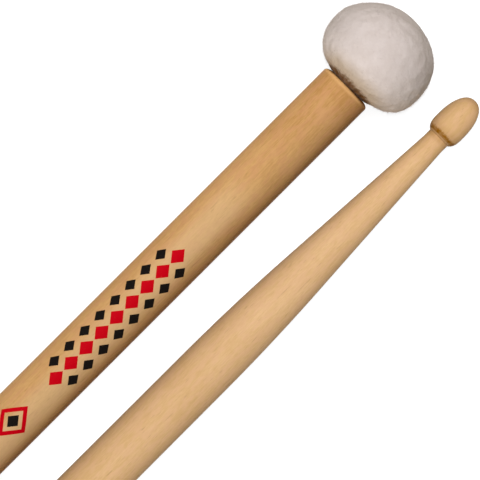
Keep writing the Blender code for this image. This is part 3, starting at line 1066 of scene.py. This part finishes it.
class Backdrop(Nodes):
    """Nodes of the floor or the world, which shows as one shader and lights the sticks as another."""

    def __init__(self, owner):
        super().__init__(owner)
        self.tree.nodes.clear()

    def seen_directly(self):
        """1 on the rays that show the background: camera, glossy and transmission rays."""
        kinds = ("Camera", "Glossy", "Transmission")
        camera, glossy, through = [
            self.node("ShaderNodeLightPath", output=f"Is {kind} Ray") for kind in kinds
        ]
        return camera.math("MAXIMUM", glossy).math("MAXIMUM", through)

    def done(self, output_kind, shown, thrown):
        """End in an output node that has the shown shader on direct rays and the thrown one on others."""
        sockets = {0: self.seen_directly(), 1: thrown, 2: shown}
        either = self.node("ShaderNodeMixShader", sockets=sockets)
        self.node(output_kind, sockets={"Surface": either})


def make_floor():
    """Pale floor with the sticks' soft shadow, white further out; what it throws back is dim and warm."""
    form = bmesh.new()
    bmesh.ops.create_grid(form, x_segments=1, y_segments=1, size=FLOOR_REACH)
    mesh = bpy.data.meshes.new("floor")
    form.to_mesh(mesh)
    form.free()
    material = bpy.data.materials.new("pale_floor")
    nodes = Backdrop(material)
    place = nodes.node("ShaderNodeTexCoord", output="Object")
    far = nodes.node("ShaderNodeVectorMath", {"operation": "LENGTH"}, {0: place}, "Value")
    fade_sockets = {"Value": far, "From Min": FLOOR_FADE[0], "From Max": FLOOR_FADE[1]}
    fade = nodes.node("ShaderNodeMapRange", sockets=fade_sockets)
    plain = nodes.node("ShaderNodeBsdfDiffuse", sockets={"Color": FLOOR_COLOUR})
    glow = nodes.node("ShaderNodeEmission", sockets={"Color": WHITE, "Strength": FLOOR_GLOW})
    near_floor = nodes.node("ShaderNodeAddShader", sockets={0: plain, 1: glow})
    far_floor = nodes.node("ShaderNodeEmission", sockets={"Color": WHITE})
    shown = nodes.node("ShaderNodeMixShader", sockets={0: fade, 1: near_floor, 2: far_floor})
    thrown = nodes.node("ShaderNodeBsdfDiffuse", sockets={"Color": BOUNCE_COLOUR})
    nodes.done("ShaderNodeOutputMaterial", shown, thrown)
    mesh.materials.append(material)
    floor = bpy.data.objects.new("floor", mesh)
    bpy.context.scene.collection.objects.link(floor)


def make_world():
    """A white backdrop over a room whose own light is low and warm."""
    world = bpy.data.worlds.new("studio")
    nodes = Backdrop(world)
    shown = nodes.node("ShaderNodeBackground", sockets={"Color": WHITE})
    thrown = nodes.node("ShaderNodeBackground", sockets={"Color": ROOM_COLOUR, "Strength": ROOM_STRENGTH})
    nodes.done("ShaderNodeOutputWorld", shown, thrown)
    bpy.context.scene.world = world


def make_softbox(name, kind, aim, spared):
    """Square lamp that faces aim and spares some pieces; at level 1 it shows colours as they are written."""
    way, size, level, colour = kind
    lamp = bpy.data.lights.new(name, "AREA")
    lamp.shape = "SQUARE"
    lamp.size = size
    lamp.color = colour
    lamp.energy = level * math.pi**2 * LAMP_DISTANCE**2
    softbox = bpy.data.objects.new(name, lamp)
    softbox.location = aim + way.normalized() * LAMP_DISTANCE
    softbox.rotation_mode = "QUATERNION"
    softbox.rotation_quaternion = way.to_track_quat("Z", "Y")
    softbox.visible_camera = False
    bpy.context.scene.collection.objects.link(softbox)
    left_out = bpy.data.collections.new(f"{name}_spares")
    for piece in spared:
        left_out.objects.link(piece)
    for linked in left_out.collection_objects:
        linked.light_linking.link_state = "EXCLUDE"
    softbox.light_linking.receiver_collection = left_out


def make_camera():
    """Long lens straight above the sticks, rolled so that they run from lower left to upper right."""
    distance_up = PHOTO_WIDTH * PIXEL * CAMERA_LENS / SENSOR_WIDTH
    lens = bpy.data.cameras.new("camera")
    lens.lens = CAMERA_LENS
    lens.sensor_width = SENSOR_WIDTH
    lens.clip_start = NEAREST_SHOWN
    lens.clip_end = 4.0 * distance_up
    camera = bpy.data.objects.new("camera", lens)
    camera.location = VIEW_CENTRE + UP * distance_up
    camera.rotation_euler = (0.0, 0.0, VIEW_ROLL)
    bpy.context.scene.collection.objects.link(camera)
    bpy.context.scene.camera = camera


make_camera()
stick_a = make_drumstick("a", side=1, tones=HICKORY_WARM, seed=3)
stick_b = make_drumstick("b", side=-1, tones=HICKORY_PALE, seed=8)
make_floor()
make_world()
head_centre = Vector((BUTT_REACH, BUTT_SIDE, BUTT_HEIGHT))
tip_centre = Vector((BUTT_REACH, -BUTT_SIDE, BUTT_HEIGHT))
head_a = [piece for piece in stick_a if piece.name.startswith("felt_head")]
rest_of_a = [piece for piece in stick_a if piece not in head_a]
make_softbox("softbox_a", KEY_OF_A, head_centre, spared=stick_b + head_a)
make_softbox("softbox_head", KEY_OF_HEAD, head_centre, spared=stick_b + rest_of_a)
make_softbox("fill_head", FILL_OF_HEAD, head_centre, spared=stick_b + rest_of_a)
make_softbox("softbox_b", KEY_OF_B, tip_centre, spared=stick_a)
bpy.context.scene.view_settings.view_transform = "Standard"
